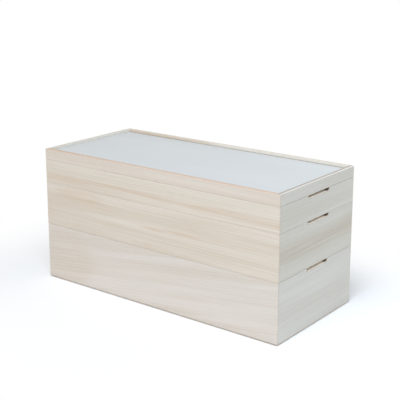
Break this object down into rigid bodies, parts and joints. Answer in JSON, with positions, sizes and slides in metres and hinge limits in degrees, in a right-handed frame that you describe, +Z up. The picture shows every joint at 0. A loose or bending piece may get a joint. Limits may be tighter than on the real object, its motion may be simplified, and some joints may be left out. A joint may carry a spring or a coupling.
{
  "type": "stacking clothes chest",
  "caption": "Low clothes chest of pale paulownia boards: stacked open boxes under a flush framed lid, finger slots in the ends, hidden swivel casters.",
  "frame": {"origin": "on the floor under the middle of the chest, at the foot of the wheels", "axes": "+X along the chest to its right end, +Y from front to back, +Z up"},
  "size_m": [0.95, 0.43, 0.46],
  "materials": {
    "paulownia": "planed and sanded, bare",
    "paulownia_batten": "sawn, bare",
    "base_plywood": "paulownia-faced plywood",
    "lid_panel": "smooth pale overlay",
    "caster_steel": "zinc plated",
    "screw_steel": "zinc plated",
    "ball_steel": "polished",
    "wheel_nylon": "moulded nylon"
  },
  "bodies": {
    "lower_box": {"lower_box_front_board": "paulownia", "lower_box_back_board": "paulownia", "lower_box_left_end": "paulownia", "lower_box_right_end": "paulownia", "lower_box_base": "base_plywood", "left_caster_bearer": "paulownia_batten", "right_caster_bearer": "paulownia_batten", "caster_screws": "screw_steel", "caster_race_balls": "ball_steel", "front_left_caster_plate": "caster_steel", "front_left_caster_kingpin": "caster_steel", "front_right_caster_plate": "caster_steel", "front_right_caster_kingpin": "caster_steel", "back_left_caster_plate": "caster_steel", "back_left_caster_kingpin": "caster_steel", "back_right_caster_plate": "caster_steel", "back_right_caster_kingpin": "caster_steel"},
    "middle_box": {"middle_box_front_board": "paulownia", "middle_box_back_board": "paulownia", "middle_box_left_end": "paulownia", "middle_box_right_end": "paulownia", "middle_box_base": "base_plywood", "middle_box_front_batten": "paulownia_batten", "middle_box_back_batten": "paulownia_batten", "middle_box_left_batten": "paulownia_batten", "middle_box_right_batten": "paulownia_batten", "middle_box_batten_screws": "screw_steel"},
    "upper_box": {"upper_box_front_board": "paulownia", "upper_box_back_board": "paulownia", "upper_box_left_end": "paulownia", "upper_box_right_end": "paulownia", "upper_box_base": "base_plywood", "upper_box_front_batten": "paulownia_batten", "upper_box_back_batten": "paulownia_batten", "upper_box_left_batten": "paulownia_batten", "upper_box_right_batten": "paulownia_batten", "upper_box_batten_screws": "screw_steel"},
    "lid": {"lid_front_rim": "paulownia", "lid_back_rim": "paulownia", "lid_left_rim": "paulownia", "lid_right_rim": "paulownia", "lid_panel": "lid_panel", "lid_front_batten": "paulownia_batten", "lid_back_batten": "paulownia_batten", "lid_left_batten": "paulownia_batten", "lid_right_batten": "paulownia_batten", "lid_batten_screws": "screw_steel"},
    "front_left_swivel": {"front_left_caster_fork": "caster_steel", "front_left_caster_axle": "caster_steel"},
    "front_left_wheel": {"front_left_caster_wheel": "wheel_nylon"},
    "front_right_swivel": {"front_right_caster_fork": "caster_steel", "front_right_caster_axle": "caster_steel"},
    "front_right_wheel": {"front_right_caster_wheel": "wheel_nylon"},
    "back_left_swivel": {"back_left_caster_fork": "caster_steel", "back_left_caster_axle": "caster_steel"},
    "back_left_wheel": {"back_left_caster_wheel": "wheel_nylon"},
    "back_right_swivel": {"back_right_caster_fork": "caster_steel", "back_right_caster_axle": "caster_steel"},
    "back_right_wheel": {"back_right_caster_wheel": "wheel_nylon"}
  },
  "joints": [
    {"name": "middle_box_lift", "type": "slide", "parent": "lower_box", "child": "middle_box", "axis": [0, 0, 1], "range_m": [0, 0.25]},
    {"name": "upper_box_lift", "type": "slide", "parent": "middle_box", "child": "upper_box", "axis": [0, 0, 1], "range_m": [0, 0.25]},
    {"name": "lid_lift", "type": "slide", "parent": "upper_box", "child": "lid", "axis": [0, 0, 1], "range_m": [0, 0.25]},
    {"name": "front_left_caster_swivel", "type": "hinge", "parent": "lower_box", "child": "front_left_swivel", "pos_m": [-0.42, -0.16, 0.044], "axis": [0, 0, 1], "continuous": true},
    {"name": "front_left_wheel_roll", "type": "hinge", "parent": "front_left_swivel", "child": "front_left_wheel", "pos_m": [-0.432, -0.16, 0.016], "axis": [0, 1, 0], "continuous": true},
    {"name": "front_right_caster_swivel", "type": "hinge", "parent": "lower_box", "child": "front_right_swivel", "pos_m": [0.42, -0.16, 0.044], "axis": [0, 0, 1], "continuous": true},
    {"name": "front_right_wheel_roll", "type": "hinge", "parent": "front_right_swivel", "child": "front_right_wheel", "pos_m": [0.408, -0.16, 0.016], "axis": [0, 1, 0], "continuous": true},
    {"name": "back_left_caster_swivel", "type": "hinge", "parent": "lower_box", "child": "back_left_swivel", "pos_m": [-0.42, 0.16, 0.044], "axis": [0, 0, 1], "continuous": true},
    {"name": "back_left_wheel_roll", "type": "hinge", "parent": "back_left_swivel", "child": "back_left_wheel", "pos_m": [-0.432, 0.16, 0.016], "axis": [0, 1, 0], "continuous": true},
    {"name": "back_right_caster_swivel", "type": "hinge", "parent": "lower_box", "child": "back_right_swivel", "pos_m": [0.42, 0.16, 0.044], "axis": [0, 0, 1], "continuous": true},
    {"name": "back_right_wheel_roll", "type": "hinge", "parent": "back_right_swivel", "child": "back_right_wheel", "pos_m": [0.408, 0.16, 0.016], "axis": [0, 1, 0], "continuous": true}
  ]
}
